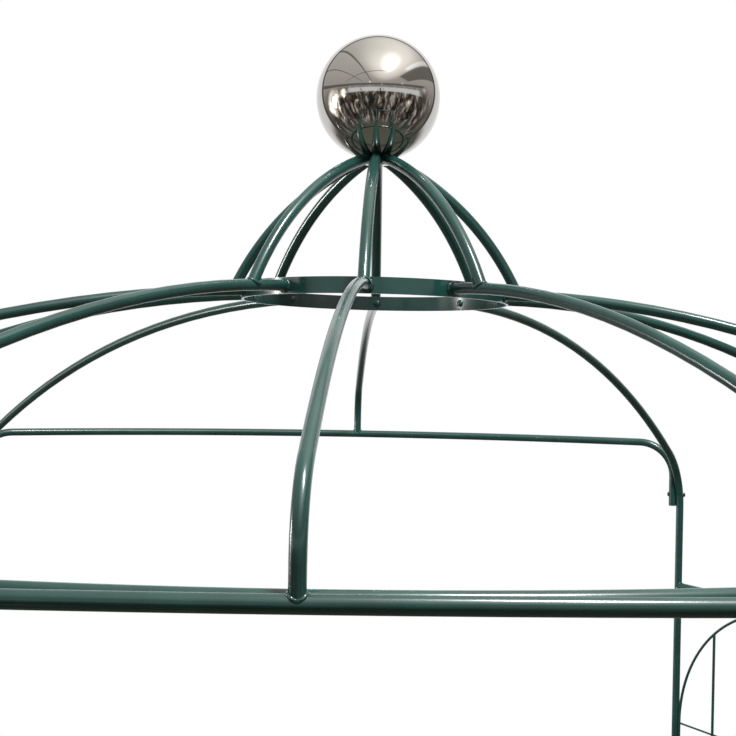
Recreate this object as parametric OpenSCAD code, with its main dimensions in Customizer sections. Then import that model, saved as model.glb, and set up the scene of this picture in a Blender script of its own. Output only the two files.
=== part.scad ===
// Steel rose pavilion: eight bent posts that run up as roof ribs to an open top ring,
// a crown of eight legs that carries a mirror ball, and six trellis bays in the sides.
// +Z is up, the feet stand on z = 0 and the front entrance faces -Y.

/* [Tube] */
// Outer diameter of the frame tube
tube_d = 22; // [16:1:30]
// Gap left between a welded tube end and the tube it is welded to
weld_gap = 0.1; // [0.05:0.05:0.3]
// Gap left between the inner tube's ends and the bent ribs
cope_gap = 0.3; // [0.2:0.05:0.6]
// How much thicker a tight bend is than the tube, which swells a little there
bend_swell = 0.2; // [0.1:0.05:0.5]
// How far a stretch of tube runs on inside the bend after it
bend_lap = 1; // [0.5:0.1:1.5]

/* [Frame] */
// Radius of the circle that the eight posts stand on
post_circle_r = 1540; // [1400:5:1800]
// Angle of the front corner posts from the front
front_corner_angle = 34; // [30:1:40]
// Angle of the front side posts from the front
front_side_angle = 73; // [70:1:78]
// Angle of the back side posts from the front
back_side_angle = 105; // [102:1:108]
// Angle of the back corner posts from the front
back_corner_angle = 136; // [132:1:140]
// Height of the middle of the top ring
ring_height = 2434; // [2300:2:2700]

/* [Top ring] */
// Outer radius of the ring
ring_r = 280; // [240:5:320]
// Height of the ring's flat bar
ring_bar_h = 32; // [26:1:40]
// Thickness of the ring's flat bar
ring_bar_t = 5; // [4:1:8]
// How far the ring sits to the right of the middle of the frame
ring_shift = 123; // [0:1:150]
// How far the ring leans down towards the back
ring_back_lean = 1.4; // [0:0.1:3]
// How far the ring leans down towards the right
ring_right_lean = 0.5; // [0:0.1:2]

/* [Roof ribs] */
// How far below the ring a rib becomes a vertical post
rib_drop = 574; // [540:2:620]
// Radius of the bend from rib to post
rib_bend_r = 215; // [150:5:260]
// Slopes at which the post ribs leave the ring, in the order of the posts: each is bent by hand
rib_slopes = [0, 1.2, -0.1, 2, 2, 1.3, 2, 0.8];
// How much higher than the others each post rib ends
rib_lifts = [-10, 50, 40, 0, 0, -36, 0, -38];
// Angle on the ring between a front corner rib's start and the front middle rib's
ring_front_angle = 35.5; // [32:0.5:42]
// Angle on the ring between a back corner rib's start and the front middle rib's
ring_back_angle = 136.5; // [132:0.5:144]
// How far the starts of the front ribs are turned clockwise on the ring, seen from above
front_turn = 4; // [0:0.5:6]
// How far the starts of the back ribs are turned clockwise on the ring
back_turn = 2; // [0:0.5:6]

/* [Entrances] */
// How far the headers lie below the ring
header_drop = 382; // [350:2:430]
// How far the front header bows out beyond the line between its posts
front_bow = 46; // [40:1:120]
// How far the back header bows out beyond the line between its posts
back_bow = 222; // [150:1:260]
// Radius of the bend at a header's ends
header_bend_r = 100; // [70:5:130]
// Length of a header's legs below its bends
header_leg = 88; // [60:2:140]
// Gap between a header's leg and its post
leg_gap = 0.3; // [0.1:0.1:2]
// How far below the ring a middle rib ends its bend
mid_rib_drop = 339; // [300:1:360]
// Radius of a middle rib's bend
mid_rib_bend_r = 120; // [80:5:160]
// Rise of a middle rib where it leaves the ring
mid_rib_rise = 0.8; // [0:0.1:8]
// Outer diameter of the front middle rib's tube
front_rib_d = 20; // [16:1:22]
// How far the front middle rib lands to the right of its header's middle
front_rib_shift = 28; // [0:1:60]
// How far the back middle rib lands to the right of its header's middle
back_rib_shift = 94; // [0:1:120]
// Distance between the axes of the front header and the tube behind it, at their middle
inner_tube_gap = 27; // [25:1:60]

/* [Header bolts] */
// Shank diameter of the bolts through header legs and posts
bolt_d = 8; // [6:1:10]
// Diametral clearance of a bolt in its holes
bolt_clearance = 0.4; // [0.2:0.1:1]
// Diameter of a domed bolt head
bolt_head_d = 15; // [12:1:18]
// Height of a domed bolt head
bolt_head_h = 5; // [4:0.5:7]
// Height of a bolt above the lower end of its leg
bolt_above_end = 34; // [20:1:50]

/* [Side bays] */
// How far the upper side rails lie below the headers
side_rail_drop = 430; // [380:5:500]
// Height of the lower side rails above the ground
low_rail_height = 120; // [80:5:200]
// Diameter of the trellis uprights and arches
rod_d = 8; // [6:1:10]
// Diameter of the trellis cross rods
cross_rod_d = 6; // [4:1:8]
// Greatest spacing of the trellis uprights
upright_pitch = 150; // [120:5:200]
// Greatest spacing of the trellis cross rods
cross_pitch = 240; // [180:5:280]
// Gap between an arch's legs and the posts beside it
arch_gap = 0.3; // [0.1:0.1:2]

/* [Crown and finial] */
// Diameter of the mirror ball
ball_d = 260; // [200:5:300]
// How far the ball's lowest point lies below the crown legs' axes at the hub
ball_seat = 1; // [0:1:8]
// Outer diameter of a crown leg's tube
crown_tube_d = 23; // [18:1:26]
// Radius of the hub that the crown legs meet
hub_r = 30; // [26:1:40]
// How far the hub reaches below the crown legs' axes
hub_skirt = 11; // [8:1:30]
// Radius of a crown leg's arc
crown_leg_bend_r = 576; // [450:2:700]
// Height above the ring's middle at which the crown legs meet the hub
crown_rise = 285; // [260:1:320]
// How far beyond the ring the front crown legs stand on their ribs
crown_front_out = 94; // [40:1:110]
// How far beyond the ring the side crown legs stand on the back side ribs
crown_side_out = 46; // [40:1:110]
// How far beyond the ring the back crown legs stand on their ribs
crown_back_out = 66; // [40:1:110]

/* [Feet] */
// Side of a square foot plate
foot_side = 100; // [80:5:140]
// Thickness of a foot plate
foot_t = 6; // [4:1:10]
// Diameter of an anchor hole
anchor_hole_d = 11; // [8:1:14]
// Distance between a foot plate's two anchor holes
anchor_spacing = 70; // [50:2:80]

/* [Hidden] */
$fn = 48;
ARC_FN = 360;   // steps of a full turn for long arcs

paint = [0.10, 0.24, 0.21];

// Angle of each post from the front, anticlockwise
POST_ANGLES = [
    front_corner_angle, front_side_angle, back_side_angle, back_corner_angle,
    -back_corner_angle, -back_side_angle, -front_side_angle, -front_corner_angle
];
// Angle of each rib's start on the ring: the posts' ribs, then the front and the back middle rib
RING_ANGLES = [
    ring_front_angle - front_turn, front_side_angle - front_turn,
    back_side_angle - back_turn, ring_back_angle - back_turn,
    -ring_back_angle - back_turn, -back_side_angle - back_turn,
    -front_side_angle - front_turn, -ring_front_angle - front_turn,
    -front_turn, 180 - back_turn
];
FRONT_RIB = 8;
BACK_RIB = 9;
// Rib that each crown leg stands on, anticlockwise from the front, and how far beyond the ring
CROWN_RIBS = [FRONT_RIB, 0, 2, 3, BACK_RIB, 4, 5, 7];
CROWN_OUTS = [
    crown_front_out, crown_front_out, crown_side_out, crown_back_out,
    crown_back_out, crown_back_out, crown_side_out, crown_front_out
];

header_z = ring_height - header_drop;
side_rail_z = header_z - side_rail_drop;
rod_top_z = side_rail_z - tube_d / 2;
low_rail_top = low_rail_height + tube_d / 2;
cope_d = tube_d + 2 * weld_gap;   // cut that fits a tube end to a tube of its own size
bend_d = tube_d + bend_swell;
bolt_hole_d = bolt_d + bolt_clearance;
bolt_z = header_z - header_bend_r - header_leg + bolt_above_end;
post_pitch = tube_d + leg_gap;    // from a header leg's axis to its post's axis
crown_top_z = ring_height + crown_rise;
ball_z = crown_top_z + ball_d / 2 - ball_seat;

// Plan geometry: angles run from the front (-Y) towards the right (+X)
function on_circle(r, angle) = [r * sin(angle), -r * cos(angle)];
function post_at(i) = on_circle(post_circle_r, POST_ANGLES[i]);
function ring_at(i) = [ring_shift, 0] + on_circle(ring_r, RING_ANGLES[i]);
function heading(v) = atan2(v.y, v.x);

// A rib is an arc that leaves the ring at a slope and runs into a bend that ends upright.
// These give the arc's radius and the slope where the bend takes over.
function arc_radius(reach, drop, slope, bend) =
    (pow(reach - bend, 2) + pow(drop, 2) - pow(bend, 2))
    / (2 * (drop * cos(slope) - bend - (reach - bend) * sin(slope)));
function arc_end(reach, drop, slope, bend) =
    let (r = arc_radius(reach, drop, slope, bend))
    atan2(reach - bend + r * sin(slope), r * cos(slope) - drop);

// Where rib i starts on the leaning ring, where it ends in plan, and its shape between them
function rib_top(i) =
    ring_height - (ring_at(i).x - ring_shift) * tan(ring_right_lean) - ring_at(i).y * tan(ring_back_lean);
function rib_end(i) =
    i == FRONT_RIB ? [front_rib_shift, -header_out(post_at(0), front_rib_shift)]
    : i == BACK_RIB ? [back_rib_shift, header_out(post_at(3), back_rib_shift)]
    : post_at(i);
function rib_way(i) = rib_end(i) - ring_at(i);
function rib_tail(i) = ring_height - (i < FRONT_RIB ? rib_drop - rib_lifts[i] : mid_rib_drop);
function rib_lean(i) = i < FRONT_RIB ? rib_slopes[i] : -mid_rib_rise;
function rib_bend(i) = i < FRONT_RIB ? rib_bend_r : mid_rib_bend_r;
function rib_arc(i) = arc_radius(norm(rib_way(i)), rib_top(i) - rib_tail(i), rib_lean(i), rib_bend(i));
function rib_arc_end(i) = arc_end(norm(rib_way(i)), rib_top(i) - rib_tail(i), rib_lean(i), rib_bend(i));

// Slope of a rib's axis at a given height, and how far out from the ring it is there
function rib_turn(i, z) =
    let (depth = rib_top(i) - z, r = rib_arc(i))
    depth > r * (cos(rib_lean(i)) - cos(rib_arc_end(i)))
    ? acos((z - rib_tail(i)) / rib_bend(i)) : acos(cos(rib_lean(i)) - depth / r);
function rib_out(i, z) =
    let (turn = rib_turn(i, z))
    turn > rib_arc_end(i)
    ? norm(rib_way(i)) - rib_bend(i) * (1 - sin(turn)) : rib_arc(i) * (sin(turn) - sin(rib_lean(i)));

// Point of a rib's axis in plan at a distance from the ring, and in its arc the slope and height there
function rib_point(i, out) = ring_at(i) + rib_way(i) / norm(rib_way(i)) * out;
function rib_slope_at(i, out) = asin(out / rib_arc(i) + sin(rib_lean(i)));
function rib_height_at(i, out) = rib_top(i) - rib_arc(i) * (cos(rib_lean(i)) - cos(rib_slope_at(i, out)));

// Way in plan from the crown's axis to the foot of leg k, and the angle to the next leg
function crown_way(k) = rib_point(CROWN_RIBS[k], CROWN_OUTS[k]) - [ring_shift, 0];
function crown_step(k) = (heading(crown_way((k + 1) % 8)) - heading(crown_way(k)) + 360) % 360;

// Distance from the middle of the frame to the middle of the header at a corner post
function header_reach(post) = abs(post.y) + (post == post_at(0) ? front_bow : back_bow);

// A header is an arc in plan whose ends point at the two corner posts.
// end_run is the way from the arc's end to the post's axis.
end_run = header_bend_r + post_pitch;
function bow_angle(post) =
    2 * atan((header_reach(post) - abs(post.y)) / (abs(post.x) + end_run));
function bow_radius(post) =
    (abs(post.x) - end_run * cos(bow_angle(post))) / sin(bow_angle(post));
// Distance of the header's axis from the middle of the frame, x to the side of its own middle
function header_out(post, x) =
    let (r = bow_radius(post))
    header_reach(post) - r + sqrt(pow(r, 2) - pow(x, 2));

// Centre and radius of the arc through two points in plan that also meets the Y axis at -reach
function arc_mid(a, b, reach) =
    let (
        m = [0, -reach],
        da = (a * a - m * m) / 2,
        db = (b * b - m * m) / 2,
        u = a - m,
        v = b - m,
        det = u.x * v.y - u.y * v.x
    )
    [(da * v.y - db * u.y) / det, (u.x * db - v.x * da) / det];

// Turn along an arc of a given radius that covers a given length
function turn_of(length, r) = length / r * 180 / PI;

// Part of a ring of tube in the XZ plane, from one slope below level to another
module bend(r, from, to, d) {
    rotate([90, 0, 0])
        rotate([0, 0, 90 - to])
            rotate_extrude(angle = to - from, $fn = ARC_FN)
                translate([r, 0]) circle(d = d);
}

// Straight tube along +Z
module tube(length, d = tube_d) {
    cylinder(d = d, h = length);
}

// A rib out along +X, bent down into an upright tail. It starts a little before the origin,
// where the ring cuts it off.
module bent_rib(reach, drop, slope, bend_r, tail, d) {
    r = arc_radius(reach, drop, slope, bend_r);
    turn = arc_end(reach, drop, slope, bend_r);
    translate([-r * sin(slope), 0, -r * cos(slope)])
        bend(r, slope - turn_of(d / 2, r), turn + turn_of(bend_lap, r), d);
    translate([reach - bend_r, 0, -drop]) bend(bend_r, turn, 90, d + bend_swell);
    translate([reach, 0, -drop - tail]) tube(tail + bend_lap, d);
}

// Rib i from the ring's outer face to the height where its tail ends
module rib(i, tail_end, d) {
    difference() {
        translate([ring_at(i).x, ring_at(i).y, rib_top(i)]) rotate([0, 0, heading(rib_way(i))])
            bent_rib(norm(rib_way(i)), rib_top(i) - rib_tail(i), rib_lean(i), rib_bend(i),
                rib_tail(i) - tail_end, d);
        on_ring() translate([0, 0, -tube_d]) cylinder(r = ring_r, h = 2 * tube_d, $fn = ARC_FN);
    }
}

// Places its children at the middle of the ring, which leans
module on_ring() {
    translate([ring_shift, 0, ring_height]) rotate([-ring_back_lean, ring_right_lean, 0]) children();
}

module finial_ball() {
    color("silver")
        translate([ring_shift, 0, ball_z]) sphere(d = ball_d, $fn = 96);
}

module finial_hub() {
    color(paint) difference() {
        translate([ring_shift, 0, crown_top_z - hub_skirt])
            cylinder(r = hub_r, h = ball_z - ball_d / 4 - crown_top_z);
        translate([ring_shift, 0, ball_z]) sphere(d = ball_d, $fn = 96);
    }
}

// Arc from the top of a rib to the hub, cut to fit the rib, the hub, the ball and the legs beside it
module crown_leg(k) {
    foot = [norm(crown_way(k)), rib_height_at(CROWN_RIBS[k], CROWN_OUTS[k])];
    top = [hub_r, crown_top_z];
    half = (top - foot) / 2;
    out = [half.y, -half.x] / norm(half);
    middle = foot + half - out * sqrt(pow(crown_leg_bend_r, 2) - half * half);
    top_slope = atan2(top.x - middle.x, top.y - middle.y);
    foot_slope = atan2(foot.x - middle.x, foot.y - middle.y);
    over = 3;   // degrees that each end runs on before it is cut
    color(paint) difference() {
        translate([ring_shift, 0, 0]) rotate([0, 0, heading(crown_way(k))]) difference() {
            translate([middle.x, 0, middle.y])
                bend(crown_leg_bend_r, top_slope - over, foot_slope + over, crown_tube_d);
            translate([0, 0, crown_top_z - 2 * tube_d]) cylinder(r = hub_r, h = 4 * tube_d);
            translate([0, 0, ball_z]) sphere(d = ball_d + 2 * weld_gap, $fn = 96);
            rotate([0, 0, crown_step(k) / 2]) mitre_cut();
            rotate([0, 0, -crown_step((k + 7) % 8) / 2]) mirror([0, 1, 0]) mitre_cut();
        }
        saddle_cut(CROWN_RIBS[k], CROWN_OUTS[k]);
    }
}

// What lies beyond the plane between two crown legs
module mitre_cut() {
    translate([0, weld_gap / 2, crown_top_z - 3 * tube_d]) cube([4 * hub_r, 2 * tube_d, 5 * tube_d]);
}

// Takes off what would reach into rib i, and what would hang down beside it
module saddle_cut(i, out) {
    at = rib_point(i, out);
    translate([at.x, at.y, rib_height_at(i, out)])
        rotate([0, rib_slope_at(i, out), heading(rib_way(i))]) {
            rotate([0, 90, 0]) cylinder(d = tube_d + 2 * cope_gap, h = 6 * tube_d, center = true);
            translate([-3 * tube_d, -2 * tube_d, -3 * tube_d])
                cube([6 * tube_d, 4 * tube_d, 3 * tube_d + tube_d / 4]);
        }
}

module top_ring() {
    color(paint) on_ring() rotate_extrude($fn = ARC_FN)
        translate([ring_r - ring_bar_t, -ring_bar_h / 2]) square([ring_bar_t, ring_bar_h]);
}

// Roof rib and post, one bent tube from the ring to the foot plate
module post_rib(i) {
    color(paint) difference() {
        rib(i, foot_t, tube_d);
        if (i == 0 || i == 7) on_header_ends(post_at(0)) bolt_hole();
        if (i == 3 || i == 4) rotate([0, 0, 180]) on_header_ends(post_at(3)) bolt_hole();
    }
}

// Places its children at both header legs of an entrance that faces -Y, +X towards the post
module on_header_ends(post) {
    turn = bow_angle(post);
    for (side = [-1, 1])
        translate([side * (abs(post.x) - post_pitch * cos(turn)), -abs(post.y) - post_pitch * sin(turn), 0])
            rotate([0, 0, side > 0 ? turn : 180 - turn])
                children();
}

module bolt_hole() {
    translate([-tube_d, 0, bolt_z]) rotate([0, 90, 0])
        cylinder(d = bolt_hole_d, h = post_pitch + 2 * tube_d);
}

// Bowed bar of an entrance that faces -Y
module header_bow(post) {
    r = bow_radius(post);
    turn = bow_angle(post) + turn_of(bend_lap, r);
    translate([0, r - header_reach(post), header_z]) rotate([0, 0, -90 - turn])
        rotate_extrude(angle = 2 * turn, $fn = 2 * ARC_FN) translate([r, 0]) circle(d = tube_d);
}

module header(post) {
    header_bow(post);
    on_header_ends(post) {
        translate([-header_bend_r, 0, header_z - header_bend_r]) bend(header_bend_r, 0, 90, bend_d);
        difference() {
            translate([0, 0, header_z - header_bend_r - header_leg]) tube(header_leg + bend_lap);
            bolt_hole();
        }
    }
}

module front_header() {
    color(paint) header(post_at(0));
}

module back_header() {
    color(paint) rotate([0, 0, 180]) header(post_at(3));
}

// Rib from the ring to the top of a header, whose tube runs at an angle in plan where the rib lands
module mid_rib(i, header_angle, d) {
    difference() {
        rib(i, header_z, d);
        translate([rib_end(i).x, rib_end(i).y, header_z]) rotate([0, 90, header_angle])
            cylinder(d = cope_d, h = 4 * tube_d, center = true);
    }
}

module front_mid_rib() {
    color(paint) mid_rib(FRONT_RIB, asin(front_rib_shift / bow_radius(post_at(0))), front_rib_d);
}

module back_mid_rib() {
    color(paint) mid_rib(BACK_RIB, -asin(back_rib_shift / bow_radius(post_at(3))), tube_d);
}

// Second tube behind the front header, from corner rib to corner rib
module front_inner_tube() {
    left = rib_point(7, rib_out(7, header_z));
    right = rib_point(0, rib_out(0, header_z));
    middle = arc_mid(left, right, header_reach(post_at(0)) - inner_tube_gap);
    from = heading(left - middle);
    to = heading(right - middle);
    color(paint) difference() {
        translate([middle.x, middle.y, header_z]) rotate([0, 0, from])
            rotate_extrude(angle = to - from, $fn = ARC_FN)
                translate([norm(right - middle), 0]) circle(d = tube_d);
        for (i = [0, 7]) rib_cut(i);
    }
}

// The stretch of a post rib at header level, straight and thicker by the gap that its curve needs
module rib_cut(i) {
    at = rib_point(i, rib_out(i, header_z));
    translate([at.x, at.y, header_z])
        rotate([0, 90 + rib_turn(i, header_z), heading(rib_way(i))])
            cylinder(d = tube_d + 2 * cope_gap, h = 6 * tube_d, center = true);
}

module header_bolts() {
    color("dimgray") {
        on_header_ends(post_at(0)) header_bolt();
        rotate([0, 0, 180]) on_header_ends(post_at(3)) header_bolt();
    }
}

// Shank through leg and post with a domed head on each outer side
module header_bolt() {
    grip = post_pitch + tube_d;
    dome_r = (pow(bolt_head_d / 2, 2) + pow(bolt_head_h, 2)) / (2 * bolt_head_h);
    translate([-tube_d / 2, 0, bolt_z]) rotate([0, 90, 0]) {
        cylinder(d = bolt_d, h = grip);
        translate([0, 0, grip]) dome(dome_r);
        rotate([180, 0, 0]) dome(dome_r);
    }
}

module dome(r) {
    intersection() {
        translate([0, 0, bolt_head_h - r]) sphere(r = r);
        cylinder(d = bolt_head_d, h = bolt_head_h);
    }
}

// Each side bay lies between a post and the next one, but the back entrance is left open
function bay_start(k) = post_at(k < 3 ? k : k + 1);
function bay_end(k) = post_at(k < 3 ? k + 1 : k + 2);
function bay_width(k) = norm(bay_end(k) - bay_start(k));

// Places its children with +X along bay k, from its first post's axis to its second's
module along_bay(k) {
    translate([bay_start(k).x, bay_start(k).y, 0]) rotate([0, 0, heading(bay_end(k) - bay_start(k))])
        children();
}

module rail(width, z) {
    difference() {
        translate([0, 0, z]) rotate([0, 90, 0]) tube(width);
        for (x = [0, width])
            translate([x, 0, z - tube_d]) cylinder(d = cope_d, h = 2 * tube_d);
    }
}

module side_rails(k) {
    color(paint) along_bay(k) {
        rail(bay_width(k), side_rail_z);
        rail(bay_width(k), low_rail_height);
    }
}

// Arched hoop with uprights and cross rods, welded between the two rails
module trellis(k) {
    width = bay_width(k);
    hoop_r = (width - tube_d - rod_d) / 2 - arch_gap;
    spring_z = rod_top_z - rod_d / 2 - hoop_r;
    uprights = ceil(2 * hoop_r / upright_pitch) - 1;
    crosses = ceil((spring_z - low_rail_top) / cross_pitch);
    step = 2 * hoop_r / (uprights + 1);
    rise = (spring_z - low_rail_top) / crosses;
    color(paint) along_bay(k) translate([width / 2, 0, 0]) {
        translate([0, 0, spring_z]) rotate([90, 0, 0])
            rotate_extrude(angle = 180) translate([hoop_r, 0]) circle(d = rod_d, $fn = 8);
        for (side = [-1, 1])
            translate([side * hoop_r, 0, low_rail_top]) rod(rod_d, spring_z - low_rail_top);
        for (j = [1 : uprights]) {
            x = j * step - hoop_r;
            translate([x, 0, low_rail_top])
                rod(rod_d, spring_z - low_rail_top + sqrt(pow(hoop_r, 2) - pow(x, 2)));
        }
        for (j = [1 : crosses])
            translate([-hoop_r, 0, low_rail_top + j * rise]) rotate([0, 90, 0])
                rod(cross_rod_d, 2 * hoop_r);
    }
}

// Eight-sided bar along +Z
module rod(d, length) {
    cylinder(d = d, h = length, $fn = 8);
}

module foot_plates() {
    color(paint)
        for (i = [0 : 7])
            translate([post_at(i).x, post_at(i).y, 0]) difference() {
                translate([-foot_side / 2, -foot_side / 2, 0]) cube([foot_side, foot_side, foot_t]);
                for (side = [-1, 1])
                    translate([side * anchor_spacing / 2, 0, -foot_t])
                        cylinder(d = anchor_hole_d, h = 3 * foot_t);
            }
}

finial_ball();
finial_hub();
for (k = [0 : 7])
    crown_leg(k);
top_ring();
for (i = [0 : 7])
    post_rib(i);
front_mid_rib();
back_mid_rib();
front_header();
back_header();
front_inner_tube();
header_bolts();
for (k = [0 : 5])
    side_rails(k);
for (k = [0 : 5])
    trellis(k);
foot_plates();
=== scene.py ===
# Rose pavilion of bent steel tube: coats, welds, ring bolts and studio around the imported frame
import math

import bmesh
import bpy
from mathutils import Matrix, Vector, noise


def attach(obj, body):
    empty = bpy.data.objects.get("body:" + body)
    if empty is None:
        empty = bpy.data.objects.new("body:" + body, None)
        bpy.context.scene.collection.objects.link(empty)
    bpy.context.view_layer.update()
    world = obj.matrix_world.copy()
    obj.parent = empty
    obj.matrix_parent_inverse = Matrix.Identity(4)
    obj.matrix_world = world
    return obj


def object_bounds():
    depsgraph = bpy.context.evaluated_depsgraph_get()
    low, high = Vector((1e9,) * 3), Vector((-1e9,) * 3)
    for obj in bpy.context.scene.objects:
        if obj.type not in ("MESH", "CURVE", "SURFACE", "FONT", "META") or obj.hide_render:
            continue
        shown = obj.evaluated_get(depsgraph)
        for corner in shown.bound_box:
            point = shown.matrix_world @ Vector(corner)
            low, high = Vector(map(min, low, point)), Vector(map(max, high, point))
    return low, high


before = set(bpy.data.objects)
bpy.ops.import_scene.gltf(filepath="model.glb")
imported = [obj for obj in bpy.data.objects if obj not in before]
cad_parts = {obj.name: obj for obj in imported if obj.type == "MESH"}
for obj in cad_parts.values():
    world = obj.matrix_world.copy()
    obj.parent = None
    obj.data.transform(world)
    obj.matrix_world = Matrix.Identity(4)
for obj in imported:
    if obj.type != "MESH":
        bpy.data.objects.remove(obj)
cadLow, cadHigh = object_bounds()
up = Vector((0, 0, 1))

# The frame's own sizes in metres and degrees, which place the welds and the bolts
tubing = dict(radius=0.011, crownRadius=0.0115, frontRibRadius=0.010)
posts = dict(circle=1.540, turns=(34, 73, 105, 136, -136, -105, -73, -34))
topRing = dict(middle=Vector((0.123, 0, 2.434)), radius=0.280, bar=0.005, backLean=1.4, rightLean=0.5,
               ribTurns=(31.5, 69, 103, 134.5, -138.5, -107, -77, -39.5, -4, 178))
postRibs = dict(tailTop=1.860, bend=0.215, slopes=(0, 1.2, -0.1, 2, 2, 1.3, 2, 0.8),
                lifts=(-0.010, 0.050, 0.040, 0, 0, -0.036, 0, -0.038))
midRibs = dict(tailTop=2.095, bend=0.120, slope=-0.8, frontShift=0.028, backShift=0.094)
headers = dict(height=2.052, frontBow=0.046, backBow=0.222, bend=0.100, legGap=0.0003)
crown = dict(ribs=(8, 0, 2, 3, 9, 4, 5, 7),
             outs=(0.094, 0.094, 0.046, 0.066, 0.066, 0.066, 0.046, 0.094),
             arc=0.576, hubRadius=0.030, hubHeight=2.719)
rails = dict(heights=(1.622, 0.120), bays=(0, 1, 2, 4, 5, 6))
plate = dict(thickness=0.006)
frontRib, backRib = 8, 9


def onCircle(radius, turn, height=0.0):
    # Turns run from the front (-Y) towards the right (+X)
    a = math.radians(turn)
    return Vector((radius * math.sin(a), -radius * math.cos(a), height))


def post(i):
    return onCircle(posts["circle"], posts["turns"][i])


frontCorner, backCorner = post(0), post(3)


def flat(v):
    return Vector((v.x, v.y, 0))


# Headers: arcs in plan between the corner posts
def headerRadius(corner, bow):
    run = headers["bend"] + 2 * tubing["radius"] + headers["legGap"]
    turn = 2 * math.atan(bow / (abs(corner.x) + run))
    return (abs(corner.x) - run * math.cos(turn)) / math.sin(turn)


def headerOut(corner, bow, x):
    radius = headerRadius(corner, bow)
    return abs(corner.y) + bow - radius + math.sqrt(radius ** 2 - x ** 2)


# Ribs: an arc out from the ring, then a bend into an upright tail
def ribStart(i):
    lean = onCircle(topRing["radius"], topRing["ribTurns"][i])
    drop = (lean.x * math.tan(math.radians(topRing["rightLean"]))
            + lean.y * math.tan(math.radians(topRing["backLean"])))
    return topRing["middle"] + lean - up * drop


def ribEnd(i):
    if i == frontRib:
        x = midRibs["frontShift"]
        return Vector((x, -headerOut(frontCorner, headers["frontBow"], x), 0))
    if i == backRib:
        x = midRibs["backShift"]
        return Vector((x, headerOut(backCorner, headers["backBow"], x), 0))
    return post(i)


def ribWay(i):
    return flat(ribEnd(i) - ribStart(i))


def ribTail(i):
    # Height at which the rib's tail is upright
    return postRibs["tailTop"] + postRibs["lifts"][i] if i < frontRib else midRibs["tailTop"]


def ribArc(i):
    # Radius of the rib's arc and its slope at the ring
    bend = postRibs["bend"] if i < frontRib else midRibs["bend"]
    slope = math.radians(postRibs["slopes"][i] if i < frontRib else midRibs["slope"])
    drop = ribStart(i).z - ribTail(i)
    run = ribWay(i).length - bend
    radius = ((run ** 2 + drop ** 2 - bend ** 2)
              / (2 * (drop * math.cos(slope) - bend - run * math.sin(slope))))
    return radius, slope


def ribPoint(i, out):
    # Point of the rib's axis in its arc, and the way it runs there
    radius, slope = ribArc(i)
    here = math.asin(out / radius + math.sin(slope))
    along = ribWay(i).normalized()
    at = ribStart(i) + along * out - up * radius * (math.cos(slope) - math.cos(here))
    return at, (along * math.cos(here) - up * math.sin(here)).normalized()


def ribAtHeader(i):
    # Point of a post rib's axis at the headers' height, in its arc or in its bend
    radius, slope = ribArc(i)
    bend = postRibs["bend"]
    turn = math.acos(math.cos(slope) - (ribStart(i).z - headers["height"]) / radius)
    arcEnd = math.atan2(ribWay(i).length - bend + radius * math.sin(slope),
                        radius * math.cos(slope) - ribStart(i).z + ribTail(i))
    if turn < arcEnd:
        return ribPoint(i, radius * (math.sin(turn) - math.sin(slope)))
    turn = math.acos((headers["height"] - ribTail(i)) / bend)
    along = ribWay(i).normalized()
    at = post(i) - along * bend * (1 - math.sin(turn)) + up * headers["height"]
    return at, (along * math.cos(turn) - up * math.sin(turn)).normalized()


# Colours and nodes
def linear(code):
    # sRGB hex to linear colour
    parts = [int(code[i:i + 2], 16) / 255 for i in (1, 3, 5)]
    return tuple(c / 12.92 if c <= 0.04045 else ((c + 0.055) / 1.055) ** 2.4 for c in parts) + (1.0,)


def addNode(tree, kind, inputs=None, **settings):
    # One node with its settings, and its inputs as values or links
    node = tree.nodes.new(kind)
    for name, value in settings.items():
        setattr(node, name, value)
    for name, value in (inputs or {}).items():
        if isinstance(value, bpy.types.NodeSocket):
            tree.links.new(value, node.inputs[name])
        else:
            node.inputs[name].default_value = value
    return node


def newMaterial(name):
    material = bpy.data.materials.new(name)
    material.use_nodes = True
    tree = material.node_tree
    tree.nodes.clear()
    return material, tree


def surfaceOut(tree, shader):
    addNode(tree, "ShaderNodeOutputMaterial", {"Surface": shader.outputs[0]})


def ramp(tree, factor, stops):
    node = addNode(tree, "ShaderNodeValToRGB", {"Fac": factor})
    while len(node.color_ramp.elements) < len(stops):
        node.color_ramp.elements.new(0.5)
    for element, (place, colour) in zip(node.color_ramp.elements, stops):
        element.position = place
        element.color = colour
    return node.outputs["Color"]


def mixColour(tree, factor, first, second):
    node = addNode(tree, "ShaderNodeMix", {0: factor, 6: first, 7: second}, data_type="RGBA")
    return node.outputs[2]


def maths(tree, operation, a, b=0.0):
    return addNode(tree, "ShaderNodeMath", {0: a, 1: b}, operation=operation).outputs[0]


def rise(tree, value, low, high):
    # 0 below low, 1 above high, or the other way round where low is the greater
    return addNode(tree, "ShaderNodeMapRange",
                   {"Value": value, "From Min": low, "From Max": high, "To Min": 0.0, "To Max": 1.0},
                   interpolation_type="SMOOTHSTEP").outputs["Result"]


powder = dict(deep="#1b443f", lit="#255750", cloudMm=120, speckMm=1.4, peelMm=3.0, peelStrength=0.02,
              peelDepth=0.0001, smooth=0.21, dull=0.28, gloss=0.45, coat=0.4, coatRoughness=0.12)


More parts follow.
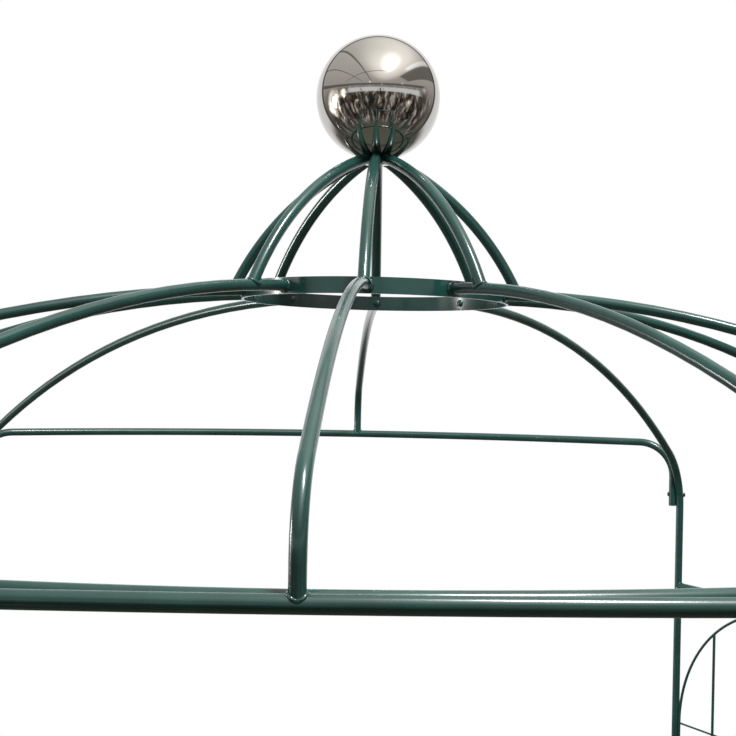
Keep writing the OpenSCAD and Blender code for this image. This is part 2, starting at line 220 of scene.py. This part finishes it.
def powderCoatMaterial(name, size):
    # Glossy powder coat, baked on steel tube: deep moss green with a faint orange-peel skin,
    # so that lamp streaks stay crisp
    material, tree = newMaterial(name)
    place = addNode(tree, "ShaderNodeTexCoord").outputs["Object"]
    clouds = addNode(tree, "ShaderNodeTexNoise",
                     {"Vector": place, "Scale": 1000 / size["cloudMm"], "Detail": 3.0, "Roughness": 0.55})
    tone = ramp(tree, clouds.outputs["Fac"],
                [(0.3, linear(size["deep"])), (0.72, linear(size["lit"]))])
    speck = addNode(tree, "ShaderNodeTexNoise",
                    {"Vector": place, "Scale": 1000 / size["speckMm"], "Detail": 2.0, "Roughness": 0.6})
    gloss = addNode(tree, "ShaderNodeMapRange",
                    {"Value": speck.outputs["Fac"], "From Min": 0.3, "From Max": 0.7,
                     "To Min": size["smooth"], "To Max": size["dull"]})
    peel = addNode(tree, "ShaderNodeTexNoise",
                   {"Vector": place, "Scale": 1000 / size["peelMm"], "Detail": 1.0, "Roughness": 0.4})
    skin = addNode(tree, "ShaderNodeBump",
                   {"Strength": size["peelStrength"], "Distance": size["peelDepth"],
                    "Height": peel.outputs["Fac"]})
    shader = addNode(tree, "ShaderNodeBsdfPrincipled",
                     {"Base Color": tone, "Roughness": gloss.outputs["Result"],
                      "Metallic": 0.0, "IOR": 1.5, "Specular IOR Level": size["gloss"],
                      "Coat Weight": size["coat"], "Coat Roughness": size["coatRoughness"], "Coat IOR": 1.5,
                      "Normal": skin.outputs["Normal"]})
    surfaceOut(tree, shader)
    return material


polish = dict(steel="#bebcb8", waveMm=70, waveStrength=0.05, waveDepth=0.002, scuffMm=3,
              smooth=0.02, dull=0.05)


def mirrorSteelMaterial(name, size):
    # Mirror-polished stainless steel, pressed and buffed: sharp reflections with a slow waver
    material, tree = newMaterial(name)
    place = addNode(tree, "ShaderNodeTexCoord").outputs["Object"]
    waver = addNode(tree, "ShaderNodeTexNoise",
                    {"Vector": place, "Scale": 1000 / size["waveMm"], "Detail": 1.0})
    skin = addNode(tree, "ShaderNodeBump",
                   {"Strength": size["waveStrength"], "Distance": size["waveDepth"],
                    "Height": waver.outputs["Fac"]})
    scuff = addNode(tree, "ShaderNodeTexNoise",
                    {"Vector": place, "Scale": 1000 / size["scuffMm"], "Detail": 4.0})
    gloss = addNode(tree, "ShaderNodeMapRange",
                    {"Value": scuff.outputs["Fac"], "From Min": 0.35, "From Max": 0.75,
                     "To Min": size["smooth"], "To Max": size["dull"]})
    shader = addNode(tree, "ShaderNodeBsdfPrincipled",
                     {"Base Color": linear(size["steel"]), "Metallic": 1.0,
                      "Roughness": gloss.outputs["Result"], "Normal": skin.outputs["Normal"]})
    surfaceOut(tree, shader)
    return material


powderCoat = powderCoatMaterial("GreenPowderCoat", powder)
mirrorSteel = mirrorSteelMaterial("MirrorSteel", polish)
polished = ("finial_ball", "finial_hub")

for nodeName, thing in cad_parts.items():
    coat = mirrorSteel if nodeName in polished else powderCoat
    thing.data.materials.clear()
    thing.data.materials.append(coat)
print("coats on", len(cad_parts), "frame parts")


# Pieces in mesh code
def finishPiece(bm, name, material):
    bmesh.ops.remove_doubles(bm, verts=bm.verts, dist=1e-6)
    bmesh.ops.recalc_face_normals(bm, faces=bm.faces)
    mesh = bpy.data.meshes.new(name)
    bm.to_mesh(mesh)
    bm.free()
    for face in mesh.polygons:
        face.use_smooth = True
    mesh.materials.append(material)
    piece = bpy.data.objects.new(name, mesh)
    bpy.context.collection.objects.link(piece)
    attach(piece, "root")
    return piece


def turnTo(axis, side=None):
    # Turn that takes +Z to the axis, and +X to the side where one is given
    z = axis.normalized()
    if side is None:
        return up.rotation_difference(z).to_matrix().to_4x4()
    x = (side - z * side.dot(z)).normalized()
    return Matrix((x, z.cross(x), z)).transposed().to_4x4()


# Beads are the radii of the welds' section in metres
weld = dict(bead=0.0040, ringBead=0.0036, footBead=0.0034, hubBead=0.0018, thinBead=0.0026,
            ripple=0.12, ripples=9, wobble=0.6, wobbleScale=260, around=54, section=9,
            ringGap=0.0006, boxGap=0.0002, legCover=0.97, ribCover=1.06)


def addBead(bm, at, axis, radius, host=None, hostRadius=0.0, stretch=1.0, bead=weld["bead"], seed=0):
    # Rippled ring of weld round a tube of the given radius that stands along the axis.
    # Where it stands on another tube, host is the way that one runs: the ring is bent down
    # round it, and stretched along it where the tube stands at a slant.
    loop = bmesh.ops.create_circle(bm, segments=weld["section"], radius=bead,
                                   matrix=Matrix.Translation((radius, 0, 0))
                                   @ Matrix.Rotation(math.pi / 2, 4, "X"))["verts"]
    edges = list({e for v in loop for e in v.link_edges})
    before = set(bm.verts) - set(loop)
    bmesh.ops.spin(bm, geom=loop + edges, cent=(0, 0, 0), axis=(0, 0, 1), angle=2 * math.pi,
                   steps=weld["around"], use_merge=True)
    verts = [v for v in bm.verts if v not in before]
    for v in verts:
        angle = math.atan2(v.co.y, v.co.x)
        swell = 1 + weld["ripple"] * (math.sin(weld["ripples"] * angle / 2 + seed) ** 2
                                      + weld["wobble"] * noise.noise(v.co * weld["wobbleScale"]
                                                                     + Vector((seed, 0, 0))))
        ring = Vector((math.cos(angle), math.sin(angle), 0)) * radius
        v.co = ring + (v.co - ring) * swell
        v.co.x *= stretch
        if host is not None:
            v.co.z += math.sqrt(max(hostRadius ** 2 - ring.y ** 2, 0.0)) - hostRadius
    bmesh.ops.transform(bm, matrix=Matrix.Translation(at) @ turnTo(axis, host), verts=verts)


def ringWelds():
    # Where the ten ribs meet the ring's outer face
    bm = bmesh.new()
    for i in range(len(topRing["ribTurns"])):
        at, along = ribPoint(i, weld["ringGap"])
        radius = tubing["frontRibRadius"] if i == frontRib else tubing["radius"]
        addBead(bm, at, along, radius, bead=weld["ringBead"], seed=i)
    finishPiece(bm, "ring_weld_beads", powderCoat)


def crownWelds():
    # Where the crown legs stand on the ribs, and where they meet the hub
    bm = bmesh.new()
    for k, (i, out) in enumerate(zip(crown["ribs"], crown["outs"])):
        foot, along = ribPoint(i, out)
        ribRadius = tubing["frontRibRadius"] if i == frontRib else tubing["radius"]
        way = flat(foot - topRing["middle"])
        top = flat(topRing["middle"]) + way.normalized() * crown["hubRadius"] + up * crown["hubHeight"]
        chord = top - foot
        bow = math.asin(chord.length / 2 / crown["arc"])
        inward = -way.normalized()
        lean = math.atan2(chord.z, chord.dot(inward))
        legWay = inward * math.cos(lean + bow) + up * math.sin(lean + bow)
        topWay = inward * math.cos(lean - bow) + up * math.sin(lean - bow)
        normal = (up - along * up.dot(along)).normalized()
        slant = legWay.dot(normal)
        addBead(bm, foot + legWay * (ribRadius / slant), normal, tubing["crownRadius"] * weld["legCover"],
                along, ribRadius * weld["ribCover"], stretch=1 / slant, bead=weld["footBead"], seed=30 + k)
        addBead(bm, top, topWay, tubing["crownRadius"], bead=weld["hubBead"], seed=40 + k)
    finishPiece(bm, "crown_weld_beads", powderCoat)


def headerWelds():
    # Where the middle ribs stand on the headers, and the inner tube's ends meet the corner ribs
    bm = bmesh.new()
    for i, corner, bow, side, radius in (
            (frontRib, frontCorner, headers["frontBow"], 1, tubing["frontRibRadius"]),
            (backRib, backCorner, headers["backBow"], -1, tubing["radius"])):
        end = ribEnd(i)
        lean = side * math.asin(end.x / headerRadius(corner, bow))
        addBead(bm, end + up * (headers["height"] + tubing["radius"]), up, radius,
                Vector((math.cos(lean), math.sin(lean), 0)), tubing["radius"],
                bead=weld["thinBead"], seed=50 + i)
    for v in bm.verts:
        v.co.y = min(max(v.co.y, cadLow[1] + weld["boxGap"]), cadHigh[1] - weld["boxGap"])
    for i, side in ((0, -1), (7, 1)):
        at, along = ribAtHeader(i)
        way = Vector((side, 0, 0))
        addBead(bm, at + way * tubing["radius"], way, tubing["radius"], along, tubing["radius"], seed=60 + i)
    finishPiece(bm, "header_weld_beads", powderCoat)


def railWelds():
    # Where the side rails meet the posts
    bm = bmesh.new()
    for first in rails["bays"]:
        a, b = post(first), post(first + 1)
        way = (b - a).normalized()
        for height in rails["heights"]:
            for at, axis in ((a, way), (b, -way)):
                addBead(bm, at + axis * tubing["radius"] + up * height, axis, tubing["radius"],
                        up, tubing["radius"], bead=weld["thinBead"], seed=first)
    finishPiece(bm, "rail_weld_beads", powderCoat)


def footWelds():
    # Where the posts stand on the foot plates
    bm = bmesh.new()
    for i in range(len(posts["turns"])):
        addBead(bm, post(i) + up * plate["thickness"], up, tubing["radius"], seed=70 + i)
    finishPiece(bm, "foot_weld_beads", powderCoat)


ringWelds()
crownWelds()
headerWelds()
railWelds()
footWelds()
print("weld beads done")

boltHead = dict(radius=0.0082, height=0.0058, steps=24, rings=12, inset=1.001)


def ringBolts():
    # Domed heads of the ribs' bolts on the ring's inner face
    bm = bmesh.new()
    for turn in topRing["ribTurns"]:
        lean = (Matrix.Rotation(math.radians(topRing["rightLean"]), 4, "Y")
                @ Matrix.Rotation(math.radians(-topRing["backLean"]), 4, "X"))
        out = lean @ onCircle(topRing["radius"] - topRing["bar"], turn)
        at = topRing["middle"] + out * boltHead["inset"]
        head = bmesh.ops.create_uvsphere(bm, u_segments=boltHead["steps"], v_segments=boltHead["rings"],
                                         radius=1.0)["verts"]
        low = [v for v in head if v.co.z < -0.01]
        bmesh.ops.delete(bm, geom=low, context="VERTS")
        head = [v for v in head if v.is_valid]
        bmesh.ops.scale(bm, vec=(boltHead["radius"], boltHead["radius"], boltHead["height"]), verts=head)
        bmesh.ops.transform(bm, matrix=Matrix.Translation(at) @ turnTo(-out), verts=head)
    finishPiece(bm, "ring_bolt_heads", powderCoat)


ringBolts()
print("ring bolts done")

# Studio: a pale floor and a white world, a hall round it for reflections, lamps and camera
studio = dict(floorRadius=3.0, floorSteps=96, floorDrop=0.001, pale="#dcdcd6", fadeFrom=0.9, fadeTo=2.6,
              ambient=0.55)


def addStage(bm, name, material, middle=(0, 0, 0)):
    mesh = bpy.data.meshes.new(name)
    bm.to_mesh(mesh)
    bm.free()
    mesh.materials.append(material)
    piece = bpy.data.objects.new(name, mesh)
    piece.location = middle
    bpy.context.collection.objects.link(piece)
    return piece


def floorDisc():
    # Pale floor that fades out before its edge
    material, tree = newMaterial("PaleFloor")
    place = addNode(tree, "ShaderNodeTexCoord").outputs["Object"]
    far = addNode(tree, "ShaderNodeVectorMath", {0: place}, operation="LENGTH").outputs["Value"]
    paint = addNode(tree, "ShaderNodeBsdfDiffuse", {"Color": linear(studio["pale"])})
    clear = addNode(tree, "ShaderNodeBsdfTransparent")
    surfaceOut(tree, addNode(tree, "ShaderNodeMixShader",
                             {0: rise(tree, far, studio["fadeFrom"], studio["fadeTo"]),
                              1: paint.outputs[0], 2: clear.outputs[0]}))
    bm = bmesh.new()
    bmesh.ops.create_circle(bm, cap_ends=True, segments=studio["floorSteps"], radius=studio["floorRadius"],
                            matrix=Matrix.Translation(-up * studio["floorDrop"]))
    disc = addStage(bm, "studio_floor", material)
    disc.visible_glossy = False


def whiteWorld():
    # White to the camera and in gloss and glass, and plain soft light for the rest
    world = bpy.data.worlds.new("WhiteStudio")
    bpy.context.scene.world = world
    world.use_nodes = True
    tree = world.node_tree
    tree.nodes.clear()
    path = addNode(tree, "ShaderNodeLightPath").outputs
    seen = maths(tree, "MAXIMUM", maths(tree, "MAXIMUM", path["Is Camera Ray"], path["Is Glossy Ray"]),
                 path["Is Transmission Ray"])
    level = addNode(tree, "ShaderNodeMapRange", {"Value": seen, "To Min": studio["ambient"], "To Max": 1.0})
    light = addNode(tree, "ShaderNodeBackground", {"Color": (1, 1, 1, 1), "Strength": level.outputs[0]})
    addNode(tree, "ShaderNodeOutputWorld", {"Surface": light.outputs[0]})


# The hall by azimuth from the front to the right and by elevation, in degrees
hall = dict(
    radius=14, middle=(0, 0, 2.6),
    tiers=((-90, "#6d6f62"), (-55, "#63655a"), (-30, "#67635a"), (-8, "#8b847e"), (12, "#bdb7b2"),
           (30, "#cdc8c3"), (55, "#dbd8d2"), (90, "#cbc8c2")),
    crowdDark="#0f0e0c", crowdMid="#5f5850", crowdPale="#e2dbd2", crowdWide=0.11, crowdTall=0.05,
    beam="#4a4741", strip="#ffffff", shade="#6b6964", ceilingFrom=20.0,
    backWay=(0.0, 0.97, -0.24), backOpen=56, backFloor=(-32.0, -12.0), ambient=0.30)
# Its bands by middle, half width and soft edge: rows and their spans in degrees
rows = dict(crowd=(-19.0, 19.0, 20.0), crowdSpan=(0.0, 80.0, 50.0), glass=(6.5, 2.4, 2.4),
            glassSpan=(12.0, 62.0, 16.0), cornice=(15.5, 1.0, 1.2), corniceSpan=(-15.0, 105.0, 10.0))
# On the ceiling, taken as the plane one metre above: beams as distances right and back
ceiling = dict(beamsRight=(-0.61, -1.38), beamBack=-1.20, beamHalf=0.012, beamSoft=0.03,
               beamEnd=(0.45, 0.15), shade=(1.65, 0.42, 0.12), shadeEnd=(-1.6, -1.2),
               rail=(1.05, 0.05, 0.08), railEnd=(-0.75, -0.35))
# Bright spots: azimuth, elevation, core and edge in degrees, strength
glows = ((-92, -6, 7, 20, 9.0), (-68, 3, 3, 9, 12.0), (61, -9, 1, 6, 1.5), (-40, -12, 1, 4, 1.0),
         (-38, -2, 1, 5, 1.0), (-16, 19, 1, 3, 1.0), (44, 17, 1, 3, 1.0), (92, 12, 1, 6, 1.0),
         (6, 15, 1, 3, 1.0))
# Its lamp: middle and half sizes, strengths of core and haze, and their edges in half sizes
lamp = dict(middle=(0.37, -0.70), half=(0.34, 0.70), core=3.0, coreEdge=1.15,
            haze=1.3, hazeEdge=3.2, hazeCore=0.8)


def dirOf(azimuth, elevation):
    a, e = math.radians(azimuth), math.radians(elevation)
    return (math.cos(e) * math.sin(a), -math.cos(e) * math.cos(a), math.sin(e))


def band(tree, value, middle, half, soft):
    # 1 within half of the middle, 0 beyond half and soft
    off = maths(tree, "ABSOLUTE", maths(tree, "SUBTRACT", value, middle))
    return rise(tree, off, half + soft, half)


def both(tree, *masks):
    product = masks[0]
    for mask in masks[1:]:
        product = maths(tree, "MULTIPLY", product, mask)
    return product


def awayFrom(tree, way, direction):
    # Angle in degrees between the way and a fixed direction
    dot = addNode(tree, "ShaderNodeVectorMath", {0: way, 1: direction}, operation="DOT_PRODUCT")
    return maths(tree, "DEGREES", maths(tree, "ARCCOSINE", dot.outputs["Value"]))


def hallMaterial():
    # Soft likeness of a hall: olive floor, a busy level, a window strip, and a pale ceiling with
    # beams and a lamp. It is open behind the pavilion, where the white world shows
    material, tree = newMaterial("HallBackdrop")
    place = addNode(tree, "ShaderNodeTexCoord").outputs["Object"]
    way = addNode(tree, "ShaderNodeVectorMath", {0: place}, operation="NORMALIZE").outputs["Vector"]
    x, y, z = addNode(tree, "ShaderNodeSeparateXYZ", {0: way}).outputs
    azimuth = maths(tree, "DEGREES", maths(tree, "ARCTAN2", x, maths(tree, "MULTIPLY", y, -1.0)))
    elevation = maths(tree, "DEGREES", maths(tree, "ARCSINE", z))
    height = maths(tree, "MAXIMUM", z, 0.05)
    right, back = maths(tree, "DIVIDE", x, height), maths(tree, "DIVIDE", y, height)
    over = maths(tree, "GREATER_THAN", elevation, hall["ceilingFrom"])

    share = addNode(tree, "ShaderNodeMapRange", {"Value": elevation, "From Min": -90.0, "From Max": 90.0})
    colour = ramp(tree, share.outputs[0], [((e + 90) / 180, linear(tier)) for e, tier in hall["tiers"]])

    spread = addNode(tree, "ShaderNodeCombineXYZ",
                     {0: maths(tree, "MULTIPLY", azimuth, hall["crowdWide"]),
                      1: maths(tree, "MULTIPLY", elevation, hall["crowdTall"])})
    crowd = addNode(tree, "ShaderNodeTexNoise", {"Vector": spread.outputs[0], "Scale": 1.0,
                                                 "Detail": 5.0, "Roughness": 0.62, "Distortion": 0.6})
    busy = ramp(tree, crowd.outputs["Fac"],
                [(0.42, linear(hall["crowdDark"])), (0.53, linear(hall["crowdMid"])),
                 (0.66, linear(hall["crowdPale"]))])
    level = both(tree, band(tree, elevation, *rows["crowd"]), band(tree, azimuth, *rows["crowdSpan"]))
    colour = mixColour(tree, maths(tree, "MULTIPLY", level, 0.9), colour, busy)

    glass = both(tree, band(tree, elevation, *rows["glass"]), band(tree, azimuth, *rows["glassSpan"]),
                 rise(tree, crowd.outputs["Fac"], 0.34, 0.46))
    colour = mixColour(tree, maths(tree, "MULTIPLY", glass, 0.9), colour, linear(hall["strip"]))

    lines = both(tree, band(tree, elevation, *rows["cornice"]), band(tree, azimuth, *rows["corniceSpan"]))
    for across, at in [(right, at) for at in ceiling["beamsRight"]] + [(back, ceiling["beamBack"])]:
        beam = band(tree, across, at, ceiling["beamHalf"], ceiling["beamSoft"])
        reach = rise(tree, right, *ceiling["beamEnd"])
        lines = maths(tree, "MAXIMUM", lines, both(tree, beam, over, reach))
    colour = mixColour(tree, maths(tree, "MULTIPLY", lines, 0.75), colour, linear(hall["beam"]))

    wedge = both(tree, band(tree, right, *ceiling["shade"]), over, rise(tree, back, *ceiling["shadeEnd"]))
    colour = mixColour(tree, maths(tree, "MULTIPLY", wedge, 0.85), colour, linear(hall["shade"]))
    rail = both(tree, band(tree, right, *ceiling["rail"]), over, rise(tree, back, *ceiling["railEnd"]))
    colour = mixColour(tree, rail, colour, linear(hall["strip"]))

    aside = maths(tree, "DIVIDE", maths(tree, "SUBTRACT", right, lamp["middle"][0]), lamp["half"][0])
    along = maths(tree, "DIVIDE", maths(tree, "SUBTRACT", back, lamp["middle"][1]), lamp["half"][1])
    offLamp = maths(tree, "SQRT", maths(tree, "ADD", maths(tree, "MULTIPLY", aside, aside),
                                        maths(tree, "MULTIPLY", along, along)))
    strength = both(tree, rise(tree, offLamp, lamp["coreEdge"], 0.0), over)
    strength = maths(tree, "MULTIPLY", strength, lamp["core"])
    haze = both(tree, rise(tree, offLamp, lamp["hazeEdge"], lamp["hazeCore"]), over)
    strength = maths(tree, "ADD", strength, maths(tree, "MULTIPLY", haze, lamp["haze"]))
    for azimuthAt, elevationAt, core, edge, power in glows:
        off = awayFrom(tree, way, dirOf(azimuthAt, elevationAt))
        strength = maths(tree, "ADD", strength, maths(tree, "MULTIPLY", rise(tree, off, edge, core), power))
    glossy = addNode(tree, "ShaderNodeLightPath").outputs["Is Glossy Ray"]
    strength = maths(tree, "MULTIPLY", maths(tree, "ADD", strength, 1.0), glossy)
    strength = maths(tree, "MAXIMUM", strength, hall["ambient"])

    behind = awayFrom(tree, way, Vector(hall["backWay"]).normalized())
    rim = band(tree, behind, hall["backOpen"] + 3.0, 1.5, 3.0)
    colour = mixColour(tree, maths(tree, "MULTIPLY", rim, 0.85), colour, linear(hall["beam"]))
    light = addNode(tree, "ShaderNodeEmission", {"Color": colour, "Strength": strength})
    clear = addNode(tree, "ShaderNodeBsdfTransparent")
    opening = both(tree, rise(tree, behind, hall["backOpen"] + 1.5, hall["backOpen"] - 1),
                   rise(tree, elevation, *hall["backFloor"]))
    surfaceOut(tree, addNode(tree, "ShaderNodeMixShader",
                             {0: opening, 1: light.outputs[0], 2: clear.outputs[0]}))
    return material


def hallBackdrop():
    # Sphere round the studio that only gloss and soft light meet
    bm = bmesh.new()
    bmesh.ops.create_uvsphere(bm, u_segments=64, v_segments=32, radius=hall["radius"])
    bmesh.ops.reverse_faces(bm, faces=bm.faces)
    dome = addStage(bm, "hall_backdrop", hallMaterial(), hall["middle"])
    dome.visible_camera = False
    dome.visible_shadow = False


floorDisc()
whiteWorld()
hallBackdrop()


# Oval lamps: the upper one gives the tubes their streaks, the lower one their gleam on the left
lamps = dict(ceiling_lamp=dict(at=(1.35, -2.25, 6.5), towards=(0.1, 0, 2.4), size=(0.9, 1.5), power=260),
             left_window=dict(at=(-4.2, -0.1, 2.35), towards=(0, 0, 2.3), size=(0.5, 1.1), power=60))


def areaLamp(name, at, towards, size, power):
    data = bpy.data.lights.new(name, "AREA")
    data.shape = "ELLIPSE"
    data.size, data.size_y = size
    data.energy = power
    softbox = bpy.data.objects.new(name, data)
    softbox.location = at
    softbox.rotation_mode = "QUATERNION"
    softbox.rotation_quaternion = (Vector(towards) - Vector(at)).to_track_quat("-Z", "Y")
    bpy.context.collection.objects.link(softbox)


for lampName, settings in lamps.items():
    areaLamp(lampName, **settings)

lens = dict(at=(0.085, -2.609, 2.318), focal=60.5, sensor=36, yaw=-0.57, pitch=-0.82, roll=0.95)


def mainCamera():
    data = bpy.data.cameras.new("MainCamera")
    data.lens = lens["focal"]
    data.sensor_width = lens["sensor"]
    camera = bpy.data.objects.new("MainCamera", data)
    turn = (Matrix.Rotation(math.radians(lens["yaw"]), 4, "Z")
            @ Matrix.Rotation(math.radians(90 + lens["pitch"]), 4, "X")
            @ Matrix.Rotation(math.radians(lens["roll"]), 4, "Z"))
    camera.matrix_world = Matrix.Translation(lens["at"]) @ turn
    bpy.context.collection.objects.link(camera)
    bpy.context.scene.camera = camera


mainCamera()
bpy.context.scene.view_settings.view_transform = "Standard"

print("studio and camera done")
